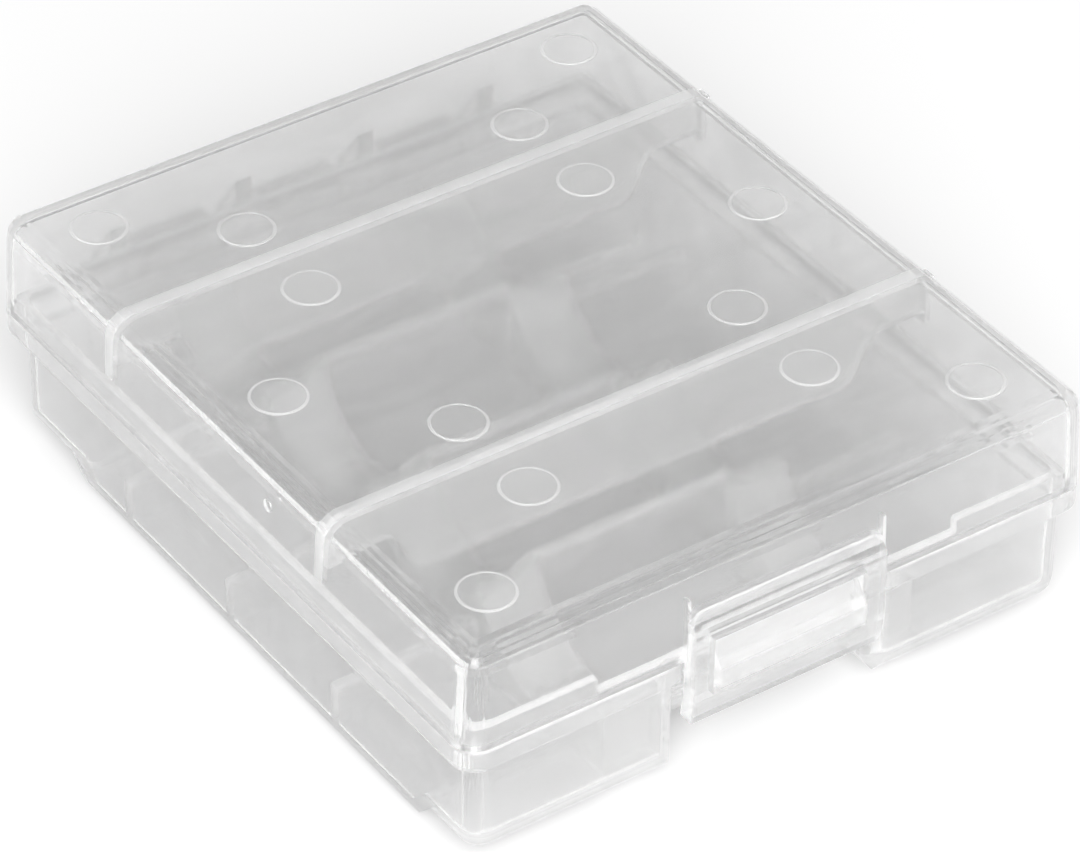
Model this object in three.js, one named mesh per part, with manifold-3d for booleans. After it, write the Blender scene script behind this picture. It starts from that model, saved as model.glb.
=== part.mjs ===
// Clear moulded case for four cylindrical cells: a tray, a hinged lid and a latch flap.
// Millimetres, +Z up. X runs along the cells, the latch faces -Y and the hinge is at +Y.
// The origin is the centre of the footprint, on the surface that the case rests on.
import * as THREE from 'three';
import { mergeVertices } from 'three/addons/utils/BufferGeometryUtils.js';
import Module from 'manifold-3d';

const wasm = await Module();
wasm.setup();

// Cells that the case is made for
const cellLength = 50.5;
const cellDiameter = 14.5;
const cellCount = 4;
const cellGap = 1.1;
const cellEndRoom = 2.78;
const cellRowRoom = 2.42;
const cellRowShift = 1.65;

// Wall, lip and the gap that mouldings keep from each other
const wall = 1.2;
const clearance = 0.3;
const lipThickness = 0.8;
const overrun = 1;
const seam = 0.25;

// Heights of the closed case
const trayHeight = 13.3;
const lidHeight = 9.3;

// Outline and edges
const cornerRadius = 2.2;
const lidEdgeRadius = 2;
const lidInnerRadius = 0.9;
const lidDraft = 0.33;
const rimEdgeRadius = 0.5;

// Tray outside
const rimDepth = 2.2;
const traySideInset = 1.15;
const trayFrontInset = 0.8;
const trayBackInset = 1.65;
const trayDraft = 0.1;
const trayCornerRadius = 1.85;
const trayEdgeRadius = 1.9;
const trayInnerRadius = 0.7;
const cornerFloorRise = 1.7;
const soleFrontInset = 9.6;
const soleBackInset = 12.9;

// Lip that the lid closes over
const lipHeight = 1.3;
const lipGapHalfWidth = 17.5;

// Dividers and saddles between and under the cells
const dividerThickness = 1.2;
const dividerEndHeight = 4;
const dividerMidHeight = 8;
const saddleInnerX = 9.4;
const saddleWidth = 5.8;
const saddleLift = 2;
const saddleHeight = 7;
const saddleFit = 0.35;
const grooveDrop = 2.4;
const grooveEndRoom = 2;

// Lid ribs and the round marks that the mould leaves inside
const ribThickness = 1.25;
const ribDepth = 9;
const ribEndDepth = 4.6;
const ribDeepHalfLength = 20.6;
const ribCurveLength = 3.6;
const markRadius = 2.35;
const markDepth = 0.15;
const markRibOffset = 4.87;
const markNearX = 13.7;
const markFarX = 23.7;
const markFrontInset = 7.1;
const markBackInset = 6.15;
const gateMarkRadius = 0.55;
const gateMarkDepth = 0.25;
const gateMarkY = -6.8;
const gateMarkDrop = 3.4;

// Latch flap, its window and the catch
const latchWidth = 18.6;
const latchHeight = 10.5;
const latchReach = 6.25;
const latchThickness = 1.45;
const latchProud = 0.6;
const latchShoulder = 1.6;
const latchTuckHeight = 2.3;
const latchTuck = 0.3;
const latchSwing = 0.4;
const latchCornerRadius = 1.2;
const latchSlitRise = 1.6;
const windowWidth = 14.9;
const windowHeight = 5.5;
const windowSill = 2.4;
const catchWidth = 14.2;
const catchHeight = 4.1;
const catchFaceHeight = 1.9;
const catchProud = 1.1;
const catchTopProud = 0.55;
const catchSillGap = 0.8;
const rimNotchDepth = 1.15;
const rimNotchRoom = 0.5;
const recessSideRoom = 2.1;
const recessDepth = 2.1;
const recessMouthRadius = 1.85;

// Snap hinge
const hingeBarRadius = 0.75;
const clipGap = 0.25;
const clipThickness = 0.6;
const clipWidth = 7;
const clipCount = 3;
const clipMouthShare = 0.8;
const hingeHalfLength = 19.5;
const armThickness = 1.6;
const armSkin = 0.55;
const armRise = 3.5;

// Facets
const cornerSteps = 8;
const edgeSteps = 4;
const arcSteps = 14;
const curveSteps = 6;
const roundSides = 20;
const markSides = 18;

// Sizes that follow
const skirt = wall + clearance + lipThickness;
const cellPitch = cellDiameter + cellGap;
const caseLength = cellLength + 2 * (cellEndRoom + skirt);
const caseDepth = cellCount * cellPitch + cellRowRoom + skirt + trayBackInset + wall;
const caseHeight = trayHeight + lidHeight;
const halfLength = caseLength / 2;
const halfDepth = caseDepth / 2;
const rimBottom = trayHeight - rimDepth;
const rimTop = trayHeight - clearance / 2;
const lidBottom = trayHeight + clearance / 2;
const ceiling = caseHeight - wall;
const cavityBackInset = trayBackInset + wall;
const cavityMiddleY = (skirt - cavityBackInset) / 2;
const cellRowY = cavityMiddleY + cellRowShift;
const hingeY = halfDepth + clearance + hingeBarRadius + clipGap + clipThickness;
const hingeZ = caseHeight / 2;
const clipRadius = hingeBarRadius + clipGap + clipThickness;
const clipMouth = clipMouthShare * hingeBarRadius;
const clipBackY = hingeY + Math.sqrt(clipRadius ** 2 - clipMouth ** 2);
const latchTop = trayHeight - latchReach + latchHeight;
const latchFrontY = -halfDepth - latchProud;
const catchFrontY = -halfDepth - catchProud;
const latchPivotY = -halfDepth + latchSwing;
const latchPivotZ = latchTop - latchSwing;
const footprintMiddleY = (clipBackY + Math.min(latchFrontY, catchFrontY)) / 2;

const dividerPlaces = [];
for (let i = 1; i < cellCount; i += 1) {
  dividerPlaces.push(cellRowY + (i - cellCount / 2) * cellPitch);
}
const cellPlaces = [];
for (let i = 0; i < cellCount; i += 1) {
  cellPlaces.push(cellRowY + (i + 1 / 2 - cellCount / 2) * cellPitch);
}

// Turns a closed geometry into a solid that can be joined and cut
function solid(geometry) {
  geometry.deleteAttribute('normal');
  geometry.deleteAttribute('uv');
  const merged = mergeVertices(geometry);
  const vertProperties = new Float32Array(merged.attributes.position.array);
  const triVerts = new Uint32Array(merged.index.array);
  return new wasm.Manifold(new wasm.Mesh({ numProp: 3, vertProperties, triVerts }));
}

// Turns a finished solid back into a geometry
function geometryOf(body) {
  const mesh = body.getMesh();
  const geometry = new THREE.BufferGeometry();
  geometry.setAttribute('position', new THREE.BufferAttribute(mesh.vertProperties, 3));
  geometry.setIndex(new THREE.BufferAttribute(mesh.triVerts, 1));
  return geometry;
}

function union(bodies) {
  return bodies.reduce((sum, body) => sum.add(body));
}

function box(xMin, xMax, yMin, yMax, zMin, zMax) {
  const geometry = new THREE.BoxGeometry(xMax - xMin, yMax - yMin, zMax - zMin);
  geometry.translate((xMin + xMax) / 2, (yMin + yMax) / 2, (zMin + zMax) / 2);
  return solid(geometry);
}

// Extrudes an outline drawn in (y, z) from xMin to xMax
function alongX(shape, xMin, xMax) {
  const geometry = new THREE.ExtrudeGeometry(shape, {
    depth: xMax - xMin,
    bevelEnabled: false,
    curveSegments: arcSteps,
  });
  const turn = new THREE.Matrix4().makeBasis(
    new THREE.Vector3(0, 1, 0),
    new THREE.Vector3(0, 0, 1),
    new THREE.Vector3(1, 0, 0),
  );
  geometry.applyMatrix4(turn);
  geometry.translate(xMin, 0, 0);
  return solid(geometry);
}

// Extrudes an outline drawn in (x, z) from yMin to yMax
function alongY(shape, yMin, yMax) {
  const geometry = new THREE.ExtrudeGeometry(shape, {
    depth: yMax - yMin,
    bevelEnabled: false,
    curveSegments: curveSteps,
  });
  const turn = new THREE.Matrix4().makeBasis(
    new THREE.Vector3(1, 0, 0),
    new THREE.Vector3(0, 0, 1),
    new THREE.Vector3(0, -1, 0),
  );
  geometry.applyMatrix4(turn);
  geometry.translate(0, yMax, 0);
  return solid(geometry);
}

// A round-cornered outline, set in from the case's own outline on each side
function outline(side, front, back, radius = cornerRadius - side) {
  return {
    xMin: -halfLength + side,
    xMax: halfLength - side,
    yMin: -halfDepth + front,
    yMax: halfDepth - back,
    radius: Math.max(radius, lipThickness),
  };
}

// One ring of points round an outline at height z, drawn in by inset
function ringPoints(shape, z, inset) {
  const radius = Math.max(shape.radius - inset, lipThickness / 2);
  const reachX = shape.xMax - inset - radius;
  const reachY = shape.yMax - inset - radius;
  const startX = shape.xMin + inset + radius;
  const startY = shape.yMin + inset + radius;
  const corners = [[reachX, reachY], [startX, reachY], [startX, startY], [reachX, startY]];
  const points = [];
  corners.forEach(([x, y], quarter) => {
    for (let i = 0; i <= cornerSteps; i += 1) {
      const angle = (quarter + i / cornerSteps) * Math.PI / 2;
      points.push(x + radius * Math.cos(angle), y + radius * Math.sin(angle), z);
    }
  });
  return points;
}

// Lofts an outline through levels of height and inset, lowest first
function loft(shape, levels) {
  const count = 4 * (cornerSteps + 1);
  const positions = levels.flatMap(([z, inset]) => ringPoints(shape, z, inset));
  const index = [];
  for (let level = 0; level + 1 < levels.length; level += 1) {
    for (let i = 0; i < count; i += 1) {
      const next = (i + 1) % count;
      const low = level * count;
      const high = low + count;
      index.push(low + i, low + next, high + next);
      index.push(low + i, high + next, high + i);
    }
  }
  const top = (levels.length - 1) * count;
  for (let i = 1; i + 1 < count; i += 1) {
    index.push(0, i + 1, i);
    index.push(top, top + i, top + i + 1);
  }
  const geometry = new THREE.BufferGeometry();
  geometry.setAttribute('position', new THREE.Float32BufferAttribute(positions, 3));
  geometry.setIndex(index);
  return solid(geometry);
}

// Levels of a rounded bottom edge, from its lowest ring up to where the side starts
function bottomEdge(z, radius, inset) {
  const levels = [];
  for (let i = 0; i <= edgeSteps; i += 1) {
    const angle = i / edgeSteps * Math.PI / 2;
    levels.push([z + radius * (1 - Math.cos(angle)), inset + radius * (1 - Math.sin(angle))]);
  }
  return levels;
}

// Levels of a rounded top edge, from where the side ends up to its highest ring
function topEdge(z, radius, inset) {
  return bottomEdge(z, radius, inset)
    .map(([height, drawn]) => [2 * z - height, drawn])
    .reverse();
}

// Heights inside the tray
const cornerFloor = cornerFloorRise + wall;
const soleFrontY = -halfDepth + soleFrontInset;
const soleBackY = halfDepth - soleBackInset;
const recessFaceY = -halfDepth + recessDepth;
const recessRadius = rimBottom;
const recessArcY = recessFaceY + recessRadius;
const recessMouthX = latchWidth / 2 + recessSideRoom;
const recessMouthY = -halfDepth + trayFrontInset + recessMouthRadius;

// How far the tray's sloping sides are drawn in at height z
function draftAt(z) {
  return trayDraft * Math.max(1 - z / rimBottom, 0);
}

// How far the lid's sloping sides are drawn in at height z
function lidDraftAt(z) {
  return lidDraft * (z - lidBottom) / (caseHeight - lidEdgeRadius - lidBottom);
}

// Sides that stand on a rounded lower edge and reach up to top
function walls(shape, bottom, radius, top) {
  const edge = bottomEdge(bottom, radius, draftAt(bottom + radius));
  return loft(shape, [...edge, [rimBottom, 0], [top, 0]]);
}

// The same sides with a lower floor, only up to where those above have their straight part
function lowered(shape, bottom, radius, level) {
  const edge = bottomEdge(bottom, radius, draftAt(bottom + radius));
  const inset = draftAt(level);
  return loft(shape, [...edge, [level, inset], [level + seam, inset + seam]]);
}

// The tray's outside, with raised corners and a lowered sole between them
function trayOutside() {
  const shape = outline(traySideInset, trayFrontInset, trayBackInset, trayCornerRadius);
  const level = cornerFloorRise + trayEdgeRadius;
  const sole = lowered(shape, 0, trayEdgeRadius, level).intersect(soleBand(0, 0));
  return walls(shape, cornerFloorRise, trayEdgeRadius, rimBottom + seam).add(sole);
}

// The space inside the tray, which follows the outside at one wall's distance
function trayHollow() {
  const shape = outline(skirt, skirt, cavityBackInset);
  const level = cornerFloor + trayInnerRadius;
  const innerInset = wall * (Math.SQRT2 - 1);
  const low = lowered(shape, wall, trayInnerRadius, level).intersect(soleBand(wall, innerInset));
  return walls(shape, cornerFloor, trayInnerRadius, trayHeight + overrun).add(low);
}

// The lowered middle of the floor has ends that slope up to the corner floor
function soleBand(bottom, inset) {
  const top = cornerFloorRise + cornerFloor;
  const run = top - bottom;
  const shape = new THREE.Shape();
  shape.moveTo(soleFrontY + inset + overrun, bottom - overrun);
  shape.lineTo(soleFrontY + inset, bottom);
  shape.lineTo(soleFrontY + inset - run, top);
  shape.lineTo(soleBackY - inset + run, top);
  shape.lineTo(soleBackY - inset, bottom);
  shape.lineTo(soleBackY - inset - overrun, bottom - overrun);
  return alongX(shape, -halfLength, halfLength);
}

// Plan of the recess, whose mouth rounds outwards at both sides
function recessPlan(mouthRadius, bottom, top) {
  const outside = -halfDepth - overrun;
  const narrowX = recessMouthX - mouthRadius;
  const shape = new THREE.Shape();
  shape.moveTo(-recessMouthX, outside);
  shape.absarc(-recessMouthX, recessMouthY, mouthRadius, -Math.PI / 2, 0, false);
  shape.lineTo(-narrowX, recessArcY);
  shape.lineTo(narrowX, recessArcY);
  shape.absarc(recessMouthX, recessMouthY, mouthRadius, -Math.PI, -Math.PI / 2, false);
  shape.lineTo(recessMouthX, outside);
  const geometry = new THREE.ExtrudeGeometry(shape, {
    depth: top - bottom,
    bevelEnabled: false,
    curveSegments: curveSteps,
  });
  geometry.translate(0, 0, bottom);
  return solid(geometry);
}

// All that lies in front of a quarter round that curves under the case behind the latch
function recessFront(radius, bottom, ledge, halfWidth) {
  const faceY = recessArcY - radius;
  const outside = -halfDepth - overrun;
  const shape = new THREE.Shape();
  shape.moveTo(outside, bottom - overrun);
  shape.lineTo(recessArcY, bottom - overrun);
  shape.absarc(recessArcY, rimBottom, radius, -Math.PI / 2, -Math.PI, true);
  shape.lineTo(faceY, rimBottom + ledge);
  shape.lineTo(outside, rimBottom + ledge);
  return alongX(shape, -halfWidth, halfWidth);
}

function recessSpace(radius, bottom, ledge, mouthRadius) {
  const plan = recessPlan(mouthRadius, bottom - overrun, trayHeight);
  return recessFront(radius, bottom, ledge, recessMouthX).intersect(plan);
}

// Rounds the lower edges of the two blocks beside the recess
function recessFlare() {
  const narrowX = recessMouthX - recessMouthRadius;
  const side = narrowX + trayEdgeRadius;
  const level = cornerFloorRise + trayEdgeRadius;
  const shape = new THREE.Shape();
  shape.moveTo(-side, cornerFloorRise - overrun);
  shape.lineTo(side, cornerFloorRise - overrun);
  shape.absarc(side, level, trayEdgeRadius, -Math.PI / 2, -Math.PI, true);
  shape.absarc(-side, level, trayEdgeRadius, 0, -Math.PI / 2, true);
  const flare = alongY(shape, -halfDepth - overrun, recessArcY);
  return flare.intersect(recessFront(recessRadius, 0, 0, side));
}

// A low wall between two cells, higher between the saddles than at its ends
function divider(y) {
  const floor = wall / 2;
  const endTop = wall + dividerEndHeight;
  const midTop = wall + dividerMidHeight;
  const reach = halfLength - skirt + wall / 2;
  const shoulder = saddleInnerX + saddleWidth;
  const bend = saddleInnerX + saddleWidth / 2;
  const shape = new THREE.Shape();
  shape.moveTo(-reach, floor);
  shape.lineTo(reach, floor);
  shape.lineTo(reach, endTop);
  shape.lineTo(shoulder, endTop);
  shape.bezierCurveTo(bend, endTop, bend, midTop, saddleInnerX, midTop);
  shape.lineTo(-saddleInnerX, midTop);
  shape.bezierCurveTo(-bend, midTop, -bend, endTop, -shoulder, endTop);
  shape.lineTo(-reach, endTop);
  return alongY(shape, y - dividerThickness / 2, y + dividerThickness / 2);
}

// A bar along Y whose top has a round seat under each cell
function scallopedBar(side, width, bottom, top, seatRadius) {
  const seatZ = wall + saddleLift + cellDiameter / 2 + saddleFit;
  const angle = Math.asin((seatZ - top) / seatRadius);
  const yMin = cellPlaces[0] - cellPitch / 2 - wall;
  const yMax = cellPlaces[cellCount - 1] + cellPitch / 2 + wall;
  const shape = new THREE.Shape();
  shape.moveTo(yMin, bottom);
  shape.lineTo(yMin, top);
  cellPlaces.forEach((y) => {
    shape.absarc(y, seatZ, seatRadius, Math.PI + angle, 2 * Math.PI - angle, false);
  });
  shape.lineTo(yMax, top);
  shape.lineTo(yMax, bottom);
  const middleX = side * (saddleInnerX + saddleWidth / 2);
  return alongX(shape, middleX - width / 2, middleX + width / 2);
}

function saddle(side) {
  const seatRadius = cellDiameter / 2 + saddleFit;
  return scallopedBar(side, saddleWidth, wall / 2, wall + saddleHeight, seatRadius);
}

// The saddles are cored out from below, to keep one wall thickness
function saddleGroove(side) {
  const seatRadius = cellDiameter / 2 + saddleFit + wall;
  const top = wall + saddleHeight - grooveDrop;
  const bar = scallopedBar(side, saddleWidth - 2 * wall, -overrun, top, seatRadius);
  const reach = cellPlaces[cellCount - 1] - cellRowY - grooveEndRoom;
  const middle = box(
    -halfLength,
    halfLength,
    cellRowY - reach,
    cellRowY + reach,
    -overrun,
    trayHeight,
  );
  return bar.intersect(middle);
}

function trayRim() {
  const shape = outline(0, 0, 0);
  return loft(shape, [...bottomEdge(rimBottom, rimEdgeRadius, 0), [rimTop, 0]]);
}

function frontSlot(halfWidth) {
  return box(
    -halfWidth,
    halfWidth,
    -halfDepth - overrun,
    -halfDepth + rimNotchDepth,
    rimBottom,
    trayHeight,
  );
}

// Room for the flap in the rim, with a rounded mouth like the recess below it
function rimNotch() {
  const mouth = recessPlan(recessMouthRadius + trayFrontInset, rimBottom, trayHeight);
  return frontSlot(latchWidth / 2 + rimNotchRoom).add(mouth.intersect(frontSlot(halfLength)));
}

function trayLip() {
  const outerInset = wall + clearance;
  const outer = loft(outline(outerInset, outerInset, outerInset), [
    [rimTop - seam, 0],
    [trayHeight, 0],
    [trayHeight + lipHeight, lidDraftAt(trayHeight + lipHeight)],
  ]);
  const inner = loft(outline(skirt, skirt, skirt), [
    [rimTop - overrun, 0],
    [trayHeight + lipHeight + overrun, 0],
  ]);
  const gap = box(
    -lipGapHalfWidth,
    lipGapHalfWidth,
    -halfDepth,
    -halfDepth + 2 * skirt,
    trayHeight,
    trayHeight + lipHeight + overrun,
  );
  return outer.subtract(inner).subtract(gap);
}

// The catch is a wedge that the flap's window drops over
function catchWedge() {
  const bottom = trayHeight - latchReach + windowSill + catchSillGap;
  const top = bottom + catchHeight;
  const backY = -halfDepth + skirt - seam;
  const rootY = recessFaceY + wall / 2;
  const rootTop = rimBottom + wall / 2;
  const shape = new THREE.Shape();
  shape.moveTo(rootY, bottom);
  shape.lineTo(rootY, rootTop);
  shape.lineTo(backY, rootTop);
  shape.lineTo(backY, top);
  shape.lineTo(-halfDepth + catchTopProud, top);
  shape.lineTo(catchFrontY, bottom + catchFaceHeight);
  shape.lineTo(catchFrontY, bottom);
  return alongX(shape, -catchWidth / 2, catchWidth / 2);
}

// One C-shaped clip that the lid's bar snaps into from behind
function hingeClip(x) {
  const ringShape = new THREE.Shape();
  ringShape.absarc(hingeY, hingeZ, clipRadius, 0, 2 * Math.PI, false);
  const boreShape = new THREE.Shape();
  boreShape.absarc(hingeY, hingeZ, hingeBarRadius + clipGap, 0, 2 * Math.PI, false);
  const mouthShape = new THREE.Shape();
  mouthShape.moveTo(hingeY, hingeZ - clipMouth);
  mouthShape.lineTo(hingeY + clipRadius + overrun, hingeZ - clipMouth);
  mouthShape.lineTo(hingeY + clipRadius + overrun, hingeZ + clipMouth);
  mouthShape.lineTo(hingeY, hingeZ + clipMouth);
  const webShape = new THREE.Shape();
  webShape.moveTo(halfDepth - wall, rimBottom + rimEdgeRadius);
  webShape.lineTo(hingeY, hingeZ - clipRadius);
  webShape.lineTo(hingeY, rimTop);
  webShape.lineTo(halfDepth - wall, rimTop);
  const xMin = x - clipWidth / 2;
  const xMax = x + clipWidth / 2;
  const clip = alongX(ringShape, xMin, xMax).add(alongX(webShape, xMin, xMax));
  const bore = alongX(boreShape, xMin - overrun, xMax + overrun);
  const opening = alongX(mouthShape, xMin - overrun, xMax + overrun);
  return clip.subtract(bore).subtract(opening);
}

function hingePlaces(count, reach) {
  const places = [];
  for (let i = 0; i < count; i += 1) {
    places.push(-reach + 2 * reach * i / (count - 1));
  }
  return places;
}

function buildTray() {
  const outside = trayOutside();
  const hollow = trayHollow();
  const recessWall = recessSpace(recessRadius - wall, wall, wall, recessMouthRadius - wall);
  const inside = union([...dividerPlaces.map(divider), saddle(-1), saddle(1)]).intersect(outside);
  const rim = trayRim();
  const shell = outside.add(rim).subtract(hollow.subtract(recessWall)).add(inside);
  const cored = shell
    .subtract(recessSpace(recessRadius, 0, 0, recessMouthRadius))
    .subtract(recessFlare())
    .subtract(rimNotch())
    .subtract(saddleGroove(-1))
    .subtract(saddleGroove(1));
  const clipReach = hingeHalfLength - armThickness - clipWidth / 2 - clipWidth / 4;
  const clips = hingePlaces(clipCount, clipReach).map(hingeClip);
  return union([cored, trayLip(), catchWedge(), ...clips]);
}

function lidShell() {
  const shape = outline(0, 0, 0);
  const outside = loft(shape, [[lidBottom, 0], ...topEdge(caseHeight, lidEdgeRadius, lidDraft)]);
  const hollowShape = outline(wall, wall, wall);
  const hollow = loft(hollowShape, [
    [lidBottom - overrun, 0],
    [lidBottom, 0],
    ...topEdge(ceiling, lidInnerRadius, lidDraft),
  ]);
  return outside.subtract(hollow);
}

// A rib between two cells, shallow at its ends, with a curve down to its deep middle
function lidRib(y) {
  const top = ceiling + wall / 2;
  const shallow = caseHeight - ribEndDepth;
  const deep = caseHeight - ribDepth;
  const reach = halfLength - wall / 2;
  const start = ribDeepHalfLength + ribCurveLength;
  const bend = ribDeepHalfLength + ribCurveLength / 2;
  const shape = new THREE.Shape();
  shape.moveTo(-reach, top);
  shape.lineTo(-reach, shallow);
  shape.lineTo(-start, shallow);
  shape.bezierCurveTo(-bend, shallow, -bend, deep, -ribDeepHalfLength, deep);
  shape.lineTo(ribDeepHalfLength, deep);
  shape.bezierCurveTo(bend, deep, bend, shallow, start, shallow);
  shape.lineTo(reach, shallow);
  shape.lineTo(reach, top);
  return alongY(shape, y - ribThickness / 2, y + ribThickness / 2);
}

// Ribs stand over the dividers, except over the middle one
function ribPlaces() {
  return [dividerPlaces[0], dividerPlaces[dividerPlaces.length - 1]];
}

// Places of the round marks, one side of the lid: near each rib, at the corners and halfway
function markPlaces() {
  const places = ribPlaces().flatMap((y) => [
    [markNearX, y - markRibOffset],
    [markNearX, y + markRibOffset],
  ]);
  places.push([markFarX, -halfDepth + markFrontInset]);
  places.push([markFarX, halfDepth - markBackInset]);
  places.push([markFarX, cellRowY]);
  return places.flatMap(([x, y]) => [[x, y], [-x, y]]);
}

function roundMark(x, y) {
  const geometry = new THREE.CylinderGeometry(markRadius, markRadius, markDepth + seam, markSides);
  geometry.rotateX(Math.PI / 2);
  geometry.translate(x, y, ceiling + (markDepth - seam) / 2);
  return solid(geometry);
}

function gateMark() {
  const depth = gateMarkDepth + overrun;
  const geometry = new THREE.CylinderGeometry(gateMarkRadius, gateMarkRadius, depth, markSides);
  geometry.rotateZ(Math.PI / 2);
  const z = caseHeight - gateMarkDrop;
  geometry.translate(-halfLength + lidDraftAt(z) + gateMarkDepth - depth / 2, gateMarkY, z);
  return solid(geometry);
}

// A block across the front wall with rounded upper corners
function roundTopped(halfWidth, bottom, top, radius) {
  const shape = new THREE.Shape();
  shape.moveTo(-halfWidth, bottom);
  shape.lineTo(halfWidth, bottom);
  shape.absarc(halfWidth - radius, top - radius, radius, 0, Math.PI / 2, false);
  shape.absarc(radius - halfWidth, top - radius, radius, Math.PI / 2, Math.PI, false);
  return alongY(shape, -halfDepth - overrun, -halfDepth + wall + lidDraft + seam);
}

// A slit beside the flap that runs on above its upper corner
function latchSlit(side) {
  const middle = side * (latchWidth + clearance) / 2;
  return box(
    middle - clearance / 2,
    middle + clearance / 2,
    -halfDepth - overrun,
    -halfDepth + wall + lidDraft + seam,
    latchTop - latchCornerRadius,
    latchTop + latchSlitRise,
  );
}

// Cut-out in the lid's front wall that the latch flap fills
function latchOpening() {
  const halfWidth = latchWidth / 2 + clearance;
  const radius = latchCornerRadius + clearance;
  return roundTopped(halfWidth, lidBottom - overrun, latchTop + clearance, radius)
    .add(latchSlit(-1))
    .add(latchSlit(1));
}

function hingeBar() {
  const length = 2 * hingeHalfLength;
  const geometry = new THREE.CylinderGeometry(hingeBarRadius, hingeBarRadius, length, roundSides);
  geometry.rotateZ(Math.PI / 2);
  geometry.translate(0, hingeY, hingeZ);
  return solid(geometry);
}

// An arm from the lid's back wall that holds the bar
function hingeArm(x) {
  const radius = hingeBarRadius + armSkin;
  const rootY = halfDepth - wall / 2;
  const shape = new THREE.Shape();
  shape.moveTo(rootY, lidBottom + clearance / 2);
  shape.lineTo(hingeY - radius, lidBottom + clearance / 2);
  shape.lineTo(hingeY - radius, hingeZ);
  shape.absarc(hingeY, hingeZ, radius, Math.PI, 2 * Math.PI + Math.PI / 4, false);
  shape.lineTo(rootY, lidBottom + armRise);
  return alongX(shape, x - armThickness / 2, x + armThickness / 2);
}

function buildLid() {
  const ribs = ribPlaces().map(lidRib);
  const marks = markPlaces().map(([x, y]) => roundMark(x, y));
  const arms = hingePlaces(clipCount + 1, hingeHalfLength - armThickness / 2).map(hingeArm);
  const shell = union([lidShell(), ...ribs])
    .subtract(union(marks))
    .subtract(gateMark())
    .subtract(latchOpening());
  return union([shell, hingeBar(), ...arms]);
}

// The flap hangs from the lid's front wall, shoulders out and tucks in at its lower edge
function latchOutline() {
  const bottom = trayHeight - latchReach;
  const tuckZ = bottom + latchTuckHeight;
  const shoulderZ = latchTop - latchShoulder;
  const innerY = latchFrontY + latchThickness;
  const rootY = -halfDepth + wall - clearance / 2;
  const shape = new THREE.Shape();
  shape.moveTo(rootY, latchTop);
  shape.lineTo(-halfDepth + lidDraftAt(latchTop), latchTop);
  shape.lineTo(latchFrontY, shoulderZ);
  shape.lineTo(latchFrontY, tuckZ);
  shape.lineTo(latchFrontY + latchTuck, bottom);
  shape.lineTo(innerY + latchTuck, bottom);
  shape.lineTo(innerY, tuckZ);
  shape.lineTo(innerY, shoulderZ - latchProud);
  shape.lineTo(rootY, shoulderZ);
  return shape;
}

function buildLatch() {
  const plate = alongX(
    latchOutline(),
    -latchWidth / 2,
    latchWidth / 2,
  );
  const sill = trayHeight - latchReach + windowSill;
  const opening = box(
    -windowWidth / 2,
    windowWidth / 2,
    -halfDepth - latchProud - overrun,
    -halfDepth + wall + overrun,
    sill,
    sill + windowHeight,
  );
  const cover = roundTopped(
    latchWidth / 2,
    trayHeight - latchReach - overrun,
    latchTop,
    latchCornerRadius,
  );
  return plate.intersect(cover).subtract(opening);
}

// Clear, slightly milky plastic
function clearPlastic(color) {
  return new THREE.MeshStandardMaterial({
    color,
    roughness: 0.3,
    metalness: 0,
    transparent: true,
    opacity: 0.6,
  });
}

// A mesh whose own origin is the point that it turns about
function pieceMesh(name, body, color, pivot) {
  const geometry = geometryOf(body);
  geometry.translate(-pivot.x, -pivot.y, -pivot.z);
  geometry.computeVertexNormals();
  const mesh = new THREE.Mesh(geometry, clearPlastic(color));
  mesh.name = name;
  return mesh;
}

const trayPivot = new THREE.Vector3(0, 0, 0);
const lidPivot = new THREE.Vector3(0, hingeY, hingeZ);
const latchPivot = new THREE.Vector3(0, latchPivotY, latchPivotZ);

const tray = pieceMesh('base_tray', buildTray(), 0xdfe3e5, trayPivot);
const lid = pieceMesh('hinged_lid', buildLid(), 0xe4e8ea, lidPivot);
const latch = pieceMesh('latch_flap', buildLatch(), 0xeceff0, latchPivot);

const latchHinge = new THREE.Group();
latchHinge.position.subVectors(latchPivot, lidPivot);
latchHinge.add(latch);

const lidHinge = new THREE.Group();
lidHinge.position.copy(lidPivot);
lidHinge.add(lid, latchHinge);

const batteryCase = new THREE.Group();
batteryCase.position.set(0, -footprintMiddleY, 0);
batteryCase.add(tray, lidHinge);

export default batteryCase;
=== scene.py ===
"""A frosted clear plastic battery case with a hinged lid and a latch flap, on a plain white table."""

import bpy
from mathutils import Matrix, Vector

# The camera: its place in metres, its three directions, its lens and its sensor in millimetres
CAMERA_PLACE = (-0.210258, -0.297841, 0.292671)
CAMERA_RIGHT = (0.821043, -0.570691, 0.014140)
CAMERA_DOWN = (-0.341376, -0.510682, -0.789092)
CAMERA_FORWARD = (0.457548, 0.643052, -0.614112)
CAMERA_LENS = 185.994
SENSOR_WIDTH = 36.0
NEAREST = 0.01

# The studio: a white table, an even sky and one soft lamp, in metres and watts
TABLE_SIZE = 6.0
TABLE_COLOUR = 0.92
TABLE_GLOW = 0.17
SKY_STRENGTH = 0.27
LAMP_PLACE = (-0.45, -0.72, 0.64)
LAMP_SIZE = 0.8
LAMP_POWER = 16.5

# The plastic guides light along its walls, so rays may turn many times inside it
MOST_BOUNCES = 48
MOST_SCATTERS = 16

# The plastic
PLASTIC_IOR = 1.49
PLASTIC_COLOUR = 0.98
CLOUDY_COLOUR = 0.90
FOG_COLOUR = 1.0
SHADE_THROUGH = 0.88
SPLIT_ANGLE = 0.6

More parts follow.
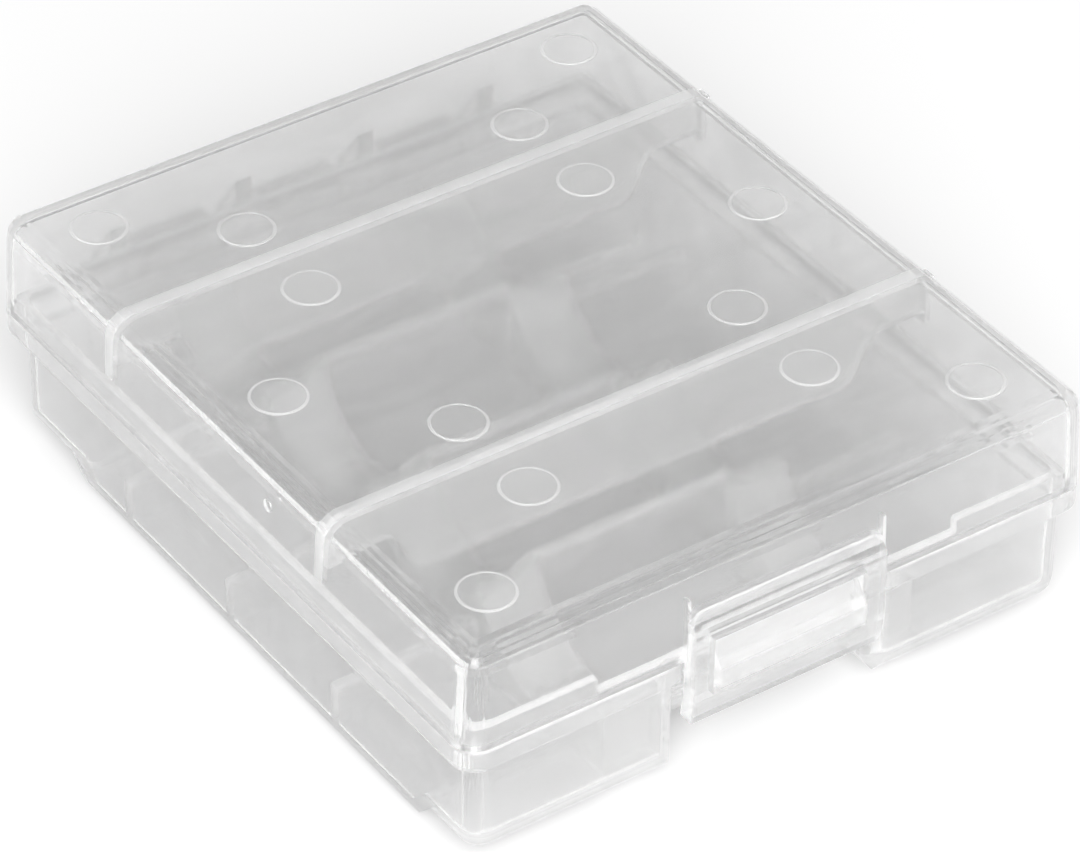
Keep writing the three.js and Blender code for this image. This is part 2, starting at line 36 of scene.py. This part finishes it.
# Each part's plastic: its milk, fog per metre, roughness, and shares of grain and waves in the bump
TRAY_LOOK = {"milk": 0.03, "fog": 230.0, "roughness": 0.15, "grain": 0.12, "waves": 0.06}
LID_LOOK = {"milk": 0.02, "fog": 160.0, "roughness": 0.1, "grain": 0.02, "waves": 0.05}
LATCH_LOOK = {"milk": 0.03, "fog": 90.0, "roughness": 0.14, "grain": 0.03, "waves": 0.02}

# Where the clouds begin and end, and what they do to milk and roughness as shares of these
TONE_RANGE = (0.35, 0.75)
MILK_RANGE = (0.4, 0.7)
MILK_SHARES = (0.5, 2.0)
ROUGH_RANGE = (0.3, 0.7)
ROUGH_SHARES = (0.75, 1.35)

# Texture scales per metre, their detail, and the bump's height in metres
CLOUD_SCALE = 55.0
CLOUD_DETAIL = 4.0
CLOUD_STRETCH = (0.6, 1.7, 1.0)
CLOUD_DISTORTION = 1.6
GRAIN_SCALE = 3800.0
GRAIN_DETAIL = 3.0
WAVE_SCALE = 160.0
WAVE_DETAIL = 2.0
BUMP_HEIGHT = 0.00006

# Round marks under the lid, in metres: their places on one side, radius and line width.
# RING_MILK and DISC_MILK say how milky their rims and middles are.
MARKS = (
    (0.0137, -0.020237),
    (0.0137, -0.010497),
    (0.0137, 0.010963),
    (0.0137, 0.020703),
    (0.0237, -0.029027),
    (0.0237, 0.027693),
    (0.0237, 0.000233),
)
MARK_RADIUS = 0.00235
MARK_LINE = 0.00018
MARK_LOW = 0.0212
MARK_HIGH = 0.0220
RING_MILK = 0.5
DISC_MILK = 0.13

# Where painted highlights go in as extra milk, in metres: the thick ribs and the bars of the cells'
# seats, and how much milk each gets
RIB_PLACES = (-0.015367, 0.015833)
RIB_REACH = 0.00055
RIB_PAINTED_HIGHLIGHT = 0.3
RIB_END_LOW = 0.0168
WALL_INSIDE = 0.0282
SEAT_PLACE = 0.0123
SEAT_REACH = 0.003
SEAT_MIDDLE = -0.0014
SEAT_HALF = 0.0322
SEAT_PAINTED_HIGHLIGHT = 0.25
BAND_EDGE = 0.0002

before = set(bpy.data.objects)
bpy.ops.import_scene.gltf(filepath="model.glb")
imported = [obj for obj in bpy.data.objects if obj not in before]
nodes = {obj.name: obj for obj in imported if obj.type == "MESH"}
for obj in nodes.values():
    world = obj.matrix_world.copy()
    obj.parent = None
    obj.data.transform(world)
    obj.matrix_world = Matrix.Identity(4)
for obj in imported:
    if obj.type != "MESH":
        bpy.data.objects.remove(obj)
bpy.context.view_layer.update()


def node_material(name):
    material = bpy.data.materials.new(name)
    material.use_nodes = True
    material.node_tree.nodes.clear()
    return material


def add_node(material, kind, **sockets):
    node = material.node_tree.nodes.new(kind)
    for socket, value in sockets.items():
        node.inputs[socket.replace("_", " ")].default_value = value
    return node


def link(material, source, target):
    material.node_tree.links.new(source, target)


def grey(value):
    return (value, value, value, 1.0)


def math(material, operation, first, second):
    """A Math node whose two inputs are each a number or another node's output."""
    node = add_node(material, "ShaderNodeMath")
    node.operation = operation
    for socket, value in zip(node.inputs, (first, second)):
        if isinstance(value, bpy.types.NodeSocket):
            link(material, value, socket)
        else:
            socket.default_value = value
    return node.outputs[0]


def absolute(material, value):
    return math(material, "ABSOLUTE", value, 0.0)


def spread(material, value, low, high, to_low, to_high):
    """Maps a value from one range to another and keeps it inside."""
    node = add_node(
        material,
        "ShaderNodeMapRange",
        From_Min=low,
        From_Max=high,
        To_Min=to_low,
        To_Max=to_high,
    )
    link(material, value, node.inputs["Value"])
    return node.outputs["Result"]


def place(material):
    """Where a point lies on the object at rest, in metres."""
    return add_node(material, "ShaderNodeTexCoord").outputs["Object"]


def place_parts(material):
    """The same place as its X, Y and Z."""
    parts = add_node(material, "ShaderNodeSeparateXYZ")
    link(material, place(material), parts.inputs[0])
    return parts.outputs


def noise(material, scale, detail, distortion=0.0, stretch=(1.0, 1.0, 1.0)):
    mapping = add_node(material, "ShaderNodeMapping", Scale=stretch)
    texture = add_node(material, "ShaderNodeTexNoise", Scale=scale, Detail=detail, Distortion=distortion)
    link(material, place(material), mapping.inputs["Vector"])
    link(material, mapping.outputs["Vector"], texture.inputs["Vector"])
    return texture.outputs[0]


def mark_distance(material):
    """How far a point is from the middle of the nearest round mark, seen from above, and its height."""
    parts = place_parts(material)
    flat = add_node(material, "ShaderNodeCombineXYZ")
    link(material, absolute(material, parts["X"]), flat.inputs["X"])
    link(material, parts["Y"], flat.inputs["Y"])
    nearest = None
    for x, y in MARKS:
        away = add_node(material, "ShaderNodeVectorMath")
        away.operation = "DISTANCE"
        away.inputs[1].default_value = (x, y, 0.0)
        link(material, flat.outputs[0], away.inputs[0])
        distance = away.outputs["Value"]
        nearest = distance if nearest is None else math(material, "MINIMUM", nearest, distance)
    return nearest, parts["Z"]


def mark_milk(material):
    """Rings and discs that are milkier than the ceiling round them."""
    distance, height = mark_distance(material)
    off_line = absolute(material, math(material, "SUBTRACT", distance, MARK_RADIUS))
    ring = spread(material, off_line, MARK_LINE / 2, MARK_LINE, RING_MILK, 0.0)
    disc = spread(material, distance, MARK_RADIUS - MARK_LINE, MARK_RADIUS, DISC_MILK, 0.0)
    above = math(material, "GREATER_THAN", height, MARK_LOW)
    below = math(material, "LESS_THAN", height, MARK_HIGH)
    inside = math(material, "MULTIPLY", above, below)
    return math(material, "MULTIPLY", math(material, "ADD", ring, disc), inside)


def band(material, value, middle, reach, amount):
    """An amount within reach of a middle value, and nothing beyond it."""
    off = absolute(material, math(material, "SUBTRACT", value, middle))
    return spread(material, off, reach, reach + BAND_EDGE, amount, 0.0)


def rib_painted_highlight(material):
    """A painted highlight, as a milky band along each rib and where it meets the ceiling, and over its
    ends in the side walls.
    """
    parts = place_parts(material)
    # Painted highlight: the bright strips that light guided in the ribs gives, put here as milk
    front, back = (band(material, parts["Y"], middle, RIB_REACH, RIB_PAINTED_HIGHLIGHT) for middle in RIB_PLACES)
    off_wall = math(material, "LESS_THAN", absolute(material, parts["X"]), WALL_INSIDE)
    above_end = math(material, "GREATER_THAN", parts["Z"], RIB_END_LOW)
    on_rib = math(material, "MAXIMUM", off_wall, above_end)
    return math(material, "MULTIPLY", math(material, "ADD", front, back), on_rib)


def lid_marks_and_painted_highlight(material):
    """The lid's milk beside its clouds: the round marks, and the painted highlight along the ribs."""
    return math(material, "ADD", mark_milk(material), rib_painted_highlight(material))


def seat_painted_highlight(material):
    """A painted highlight over the bars with the cells' seats: they get more milk than the walls round
    them.
    """
    parts = place_parts(material)
    # Painted highlight: the light band over the seats, put here as milk
    bars = band(material, absolute(material, parts["X"]), SEAT_PLACE, SEAT_REACH, SEAT_PAINTED_HIGHLIGHT)
    inside = band(material, parts["Y"], SEAT_MIDDLE, SEAT_HALF, 1.0)
    return math(material, "MULTIPLY", bars, inside)


def surface_bump(material, look):
    """Fine grain from the mould and slow waves from cooling."""
    grain = math(material, "MULTIPLY", noise(material, GRAIN_SCALE, GRAIN_DETAIL), look["grain"])
    waves = math(material, "MULTIPLY", noise(material, WAVE_SCALE, WAVE_DETAIL), look["waves"])
    bump = add_node(material, "ShaderNodeBump", Strength=1.0, Distance=BUMP_HEIGHT)
    link(material, math(material, "ADD", grain, waves), bump.inputs["Height"])
    return bump.outputs["Normal"]


def cloudy_grey(material, clouds):
    colour = add_node(material, "ShaderNodeCombineColor")
    shade = spread(material, clouds, *TONE_RANGE, PLASTIC_COLOUR, CLOUDY_COLOUR)
    for channel in colour.inputs:
        link(material, shade, channel)
    return colour.outputs[0]


def cloudy_amount(material, clouds, reach, amount, shares):
    """An amount that grows with the clouds, from its first to its second share."""
    least, most = (amount * share for share in shares)
    return spread(material, clouds, *reach, least, most)


def clear_surface(material, look, extra_milk_and_painted_highlight):
    """A clear, glossy surface with clouds of milk and roughness."""
    clouds = noise(material, CLOUD_SCALE, CLOUD_DETAIL, CLOUD_DISTORTION, CLOUD_STRETCH)
    clear = add_node(material, "ShaderNodeBsdfPrincipled", IOR=PLASTIC_IOR)
    milk = cloudy_amount(material, clouds, MILK_RANGE, look["milk"], MILK_SHARES)
    # Extra milk: the lid's round marks, and painted highlights along its ribs and over the tray's seats
    if extra_milk_and_painted_highlight:
        milk = math(material, "ADD", milk, extra_milk_and_painted_highlight(material))
    rough = cloudy_amount(material, clouds, ROUGH_RANGE, look["roughness"], ROUGH_SHARES)
    link(material, cloudy_grey(material, clouds), clear.inputs["Base Color"])
    link(material, math(material, "SUBTRACT", 1.0, milk), clear.inputs["Transmission Weight"])
    link(material, rough, clear.inputs["Roughness"])
    link(material, surface_bump(material, look), clear.inputs["Normal"])
    return clear.outputs[0]


def lit_through(material, surface):
    """The surface, but with shadows that let most of the light into the case."""
    through = add_node(material, "ShaderNodeBsdfTransparent", Color=grey(SHADE_THROUGH))
    path = add_node(material, "ShaderNodeLightPath")
    mix = add_node(material, "ShaderNodeMixShader")
    link(material, path.outputs["Is Shadow Ray"], mix.inputs[0])
    link(material, surface, mix.inputs[1])
    link(material, through.outputs[0], mix.inputs[2])
    return mix.outputs[0]


def plastic(name, look, extra_milk_and_painted_highlight=None):
    """Moulded plastic: clear, slightly milky and foggy."""
    material = node_material(name)
    surface = lit_through(material, clear_surface(material, look, extra_milk_and_painted_highlight))
    fog = add_node(material, "ShaderNodeVolumeScatter", Color=grey(FOG_COLOUR), Density=look["fog"])
    output = add_node(material, "ShaderNodeOutputMaterial")
    link(material, surface, output.inputs["Surface"])
    link(material, fog.outputs[0], output.inputs["Volume"])
    return material


def table_material():
    """A matt white table that keeps shadows, with a faint glow for the rays that see it."""
    material = node_material("white_table")
    matte = add_node(material, "ShaderNodeBsdfDiffuse", Color=grey(TABLE_COLOUR))
    path = add_node(material, "ShaderNodeLightPath")
    seen = math(material, "MAXIMUM", path.outputs["Is Camera Ray"], path.outputs["Is Glossy Ray"])
    seen = math(material, "MAXIMUM", seen, path.outputs["Is Transmission Ray"])
    glow = add_node(material, "ShaderNodeEmission")
    link(material, math(material, "MULTIPLY", seen, TABLE_GLOW), glow.inputs["Strength"])
    total = add_node(material, "ShaderNodeAddShader")
    output = add_node(material, "ShaderNodeOutputMaterial")
    link(material, matte.outputs[0], total.inputs[0])
    link(material, glow.outputs[0], total.inputs[1])
    link(material, total.outputs[0], output.inputs["Surface"])
    return material


def make_table():
    bpy.ops.mesh.primitive_plane_add(size=TABLE_SIZE, location=(0.0, 0.0, 0.0))
    table = bpy.context.object
    table.name = "table"
    table.data.materials.append(table_material())


def make_sky():
    world = bpy.data.worlds.new("studio")
    world.use_nodes = True
    background = world.node_tree.nodes["Background"]
    background.inputs["Color"].default_value = grey(1.0)
    background.inputs["Strength"].default_value = SKY_STRENGTH
    bpy.context.scene.world = world


def make_lamp():
    data = bpy.data.lights.new("lamp", "AREA")
    data.energy = LAMP_POWER
    data.shape = "SQUARE"
    data.size = LAMP_SIZE
    lamp = bpy.data.objects.new("lamp", data)
    lamp.location = LAMP_PLACE
    lamp.rotation_euler = (-Vector(LAMP_PLACE)).to_track_quat("-Z", "Y").to_euler()
    bpy.context.scene.collection.objects.link(lamp)


def make_camera():
    data = bpy.data.cameras.new("camera")
    data.lens = CAMERA_LENS
    data.sensor_width = SENSOR_WIDTH
    data.sensor_fit = "HORIZONTAL"
    data.clip_start = NEAREST
    camera = bpy.data.objects.new("camera", data)
    axes = (Vector(CAMERA_RIGHT), -Vector(CAMERA_DOWN), -Vector(CAMERA_FORWARD))
    camera.matrix_world = Matrix.Translation(CAMERA_PLACE) @ Matrix(axes).transposed().to_4x4()
    bpy.context.scene.collection.objects.link(camera)
    bpy.context.scene.camera = camera


def dress(node, material):
    """Gives a part its plastic, and smooth shading that stops at its sharp edges."""
    node.data.materials.clear()
    node.data.materials.append(material)
    for polygon in node.data.polygons:
        polygon.use_smooth = True
    split = node.modifiers.new("sharp_edges", "EDGE_SPLIT")
    split.split_angle = SPLIT_ANGLE
    even = node.modifiers.new("even_faces", "WEIGHTED_NORMAL")
    even.keep_sharp = True


def set_light_paths(scene):
    """Long paths through the plastic, and no bright spots from light that it bends."""
    cycles = scene.cycles
    cycles.use_denoising = True
    cycles.caustics_refractive = False
    cycles.max_bounces = MOST_BOUNCES
    cycles.transmission_bounces = MOST_BOUNCES
    cycles.glossy_bounces = MOST_BOUNCES
    cycles.volume_bounces = MOST_SCATTERS


make_camera()
make_sky()
make_table()
make_lamp()
# The tray and the lid get painted highlights as extra milk
dress(nodes["base_tray"], plastic("tray_plastic", TRAY_LOOK, seat_painted_highlight))
dress(nodes["hinged_lid"], plastic("lid_plastic", LID_LOOK, lid_marks_and_painted_highlight))
dress(nodes["latch_flap"], plastic("latch_plastic", LATCH_LOOK))
bpy.context.scene.view_settings.view_transform = "Standard"
set_light_paths(bpy.context.scene)
